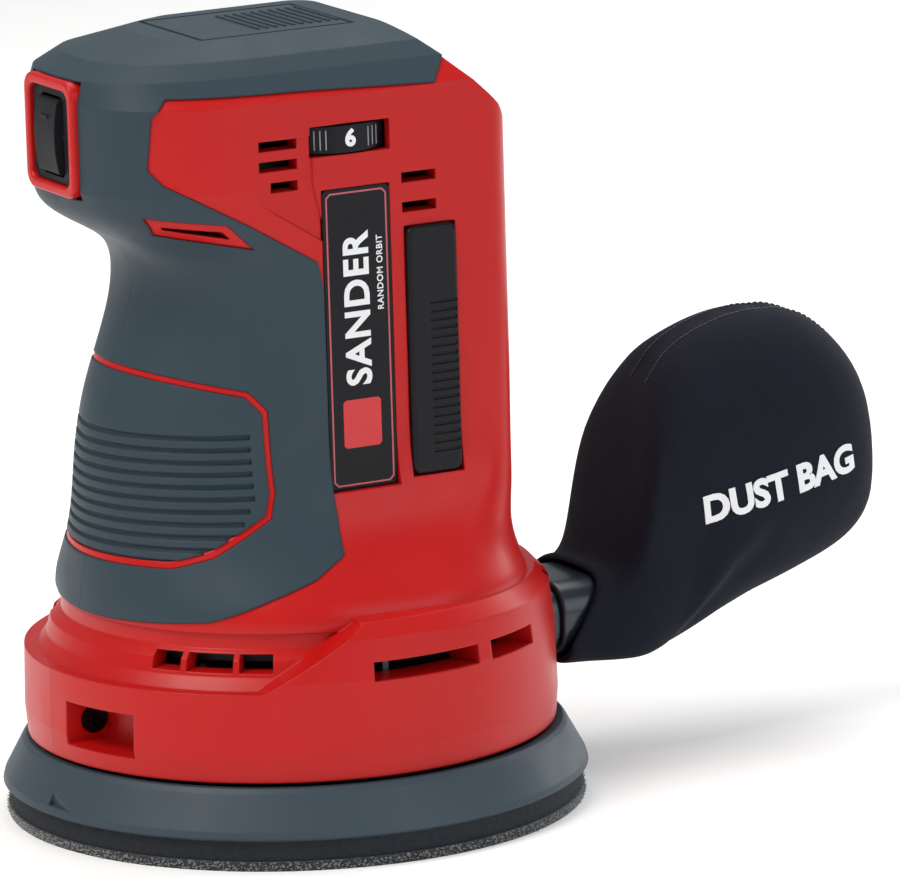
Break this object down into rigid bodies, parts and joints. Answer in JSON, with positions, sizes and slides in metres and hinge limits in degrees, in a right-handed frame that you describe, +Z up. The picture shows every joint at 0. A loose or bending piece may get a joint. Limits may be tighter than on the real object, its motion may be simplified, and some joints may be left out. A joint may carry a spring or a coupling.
{
  "type": "orbital sander",
  "caption": "Upright battery-powered random orbital sander with a round sanding pad, soft grip, speed dial and rear dust bag.",
  "frame": {"origin": "on the motor axis at the sanding face of the pad", "axes": "+Z up along the motor axis, -Y towards the switch end of the head, +Y towards the battery dock and dust bag, +X to the tool's left"},
  "size_m": [0.127, 0.2083, 0.1711],
  "materials": {
    "housing_red": "satin moulded ABS",
    "soft_grip": "soft overmould",
    "black_plastic": "moulded",
    "port_plastic": "moulded",
    "pad_plastic": "moulded",
    "pad_foam": "foam",
    "hook_fabric": "hook and loop",
    "bag_fabric": "woven",
    "steel": "bright",
    "dark_steel": "black oxide",
    "core_steel": "laminated",
    "copper": "enamelled wire",
    "brass": "plated",
    "graphite": "pressed",
    "fan_alloy": "die cast",
    "board_green": "laminate",
    "felt": "moulded"
  },
  "bodies": {
    "housing": {"housing_left": "housing_red", "housing_right": "housing_red", "switch_bezel": "housing_red", "grip_cover_left": "soft_grip", "grip_cover_right": "soft_grip", "palm_panel": "soft_grip", "label_plate_left": "black_plastic", "label_plate_right": "black_plastic", "side_strip_left": "soft_grip", "side_strip_right": "soft_grip", "switch_panel": "black_plastic", "switch_body": "black_plastic", "potentiometer": "steel", "control_board": "board_green", "motor_can": "steel", "motor_end_cap": "black_plastic", "motor_magnets": "core_steel", "motor_brushes": "graphite", "brush_holders": "brass", "motor_bearing_lower_outer": "steel", "motor_bearing_upper_outer": "steel", "motor_mount": "black_plastic", "fan_shroud": "black_plastic", "base_plate": "black_plastic", "brake_ring": "felt", "dust_port": "port_plastic", "terminal_block": "black_plastic", "terminal_blades": "brass", "housing_screws": "dark_steel", "base_screws": "dark_steel"},
    "rotor": {"rotor_core": "core_steel", "rotor_windings": "copper", "commutator": "copper", "motor_shaft": "steel", "motor_bearing_lower_inner": "steel", "motor_bearing_upper_inner": "steel", "dust_fan": "fan_alloy", "pad_bearing_outer": "steel"},
    "pad": {"pad_bearing_inner": "steel", "pad_spindle": "steel", "pad_washer": "steel", "pad_screw": "dark_steel", "pad_plate": "pad_plastic", "pad_cushion": "pad_foam", "hook_face": "hook_fabric"},
    "switch": {"switch_rocker": "black_plastic"},
    "dial": {"speed_dial": "black_plastic"},
    "bag": {"bag_connector": "port_plastic", "bag_frame": "port_plastic", "dust_bag": "bag_fabric", "port_gasket": "felt"}
  },
  "joints": [
    {"name": "motor_spin", "type": "hinge", "parent": "housing", "child": "rotor", "pos_m": [0, 0, 0.06], "axis": [0, 0, 1], "continuous": true},
    {"name": "pad_spin", "type": "hinge", "parent": "rotor", "child": "pad", "pos_m": [0.001, 0, 0.02], "axis": [0, 0, 1], "continuous": true},
    {"name": "switch_rock", "type": "hinge", "parent": "housing", "child": "switch", "pos_m": [0, -0.0512, 0.152], "axis": [1, 0, 0], "range_deg": [0, 8]},
    {"name": "dial_turn", "type": "hinge", "parent": "housing", "child": "dial", "pos_m": [0.0173, 0.0014, 0.1501], "axis": [0, 0, 1], "range_deg": [-225, 45]},
    {"name": "bag_pull", "type": "slide", "parent": "housing", "child": "bag", "axis": [0, 1, 0], "range_m": [0, 0.03]}
  ]
}
